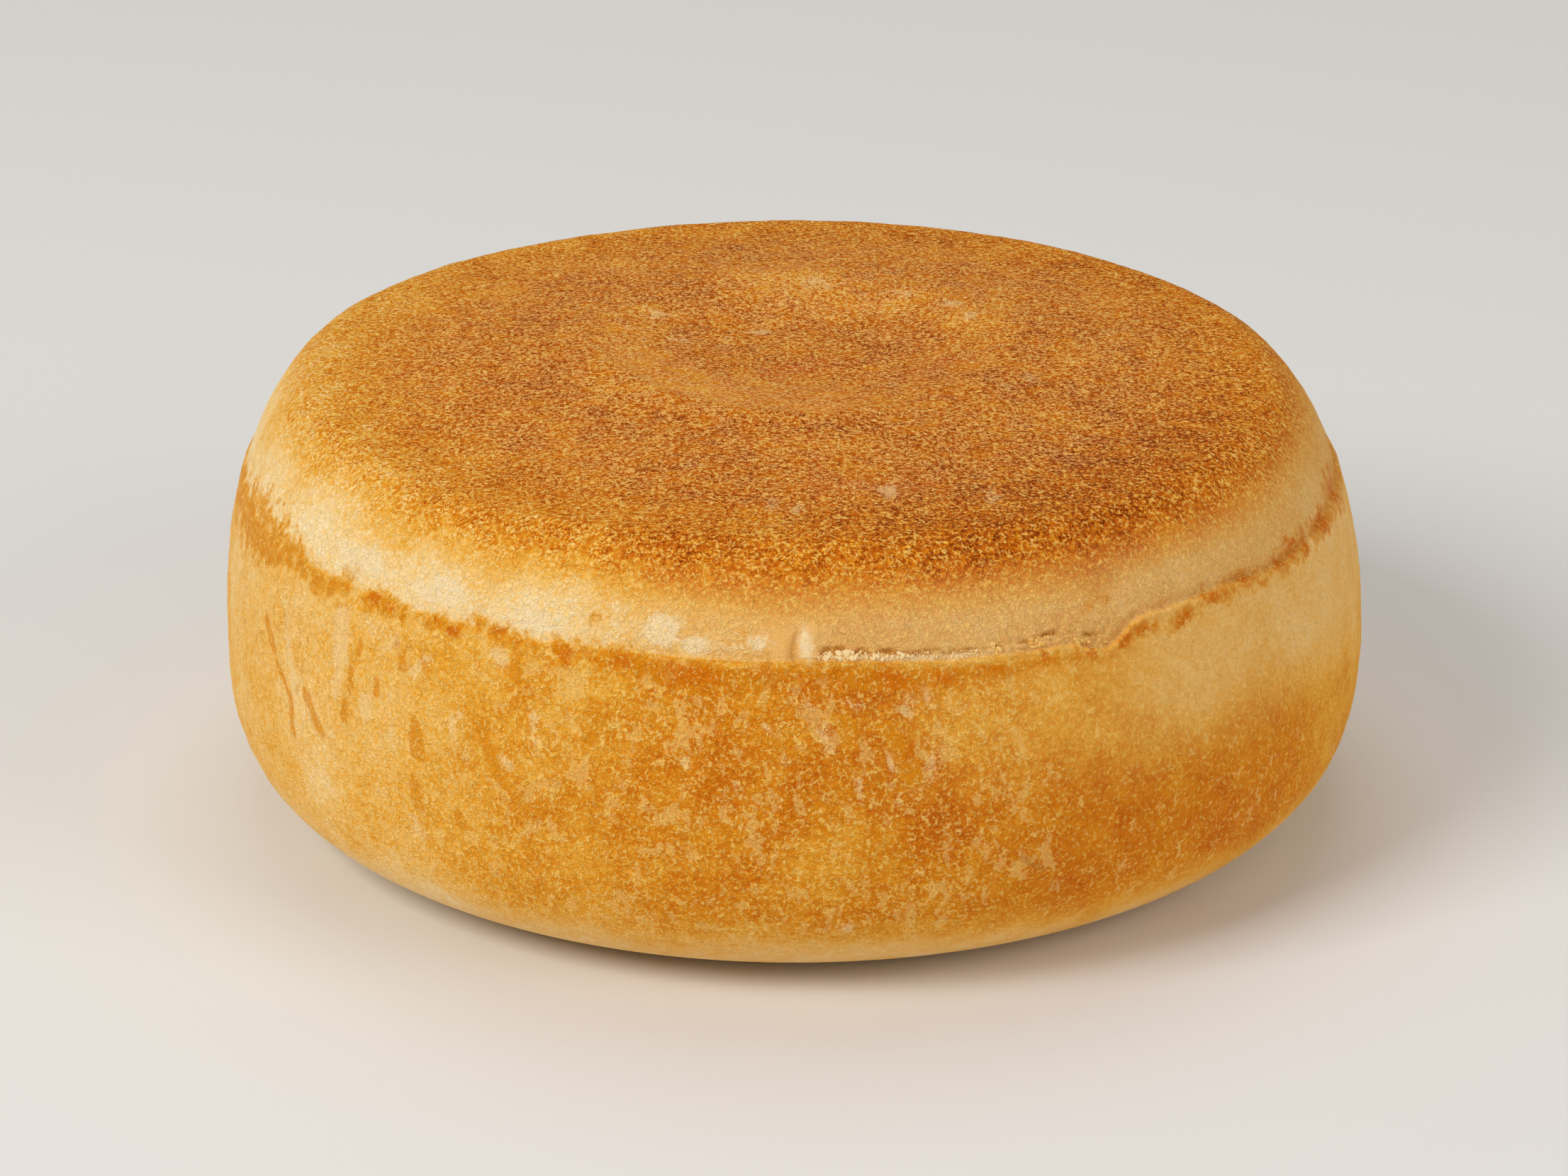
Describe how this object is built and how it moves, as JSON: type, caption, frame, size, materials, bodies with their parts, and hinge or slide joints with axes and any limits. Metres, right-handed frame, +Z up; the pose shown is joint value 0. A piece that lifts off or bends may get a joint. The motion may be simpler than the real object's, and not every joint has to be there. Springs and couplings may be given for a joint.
{
  "type": "bread roll",
  "caption": "Round, low bread roll with a browned flat-topped crown, a shallow dish in its middle, a bulging golden side, and a torn seam under the shoulder.",
  "frame": {"origin": "middle of the flat base, on the surface that the roll stands on, under the middle of its width and depth", "axes": "+Z up through the crown, -Y towards the side that the picture shows, +X to the right of that side"},
  "size_m": [0.0998, 0.1002, 0.0397],
  "materials": {
    "crust": "matte"
  },
  "bodies": {
    "root": {"bread_roll": "crust"}
  },
  "joints": []
}
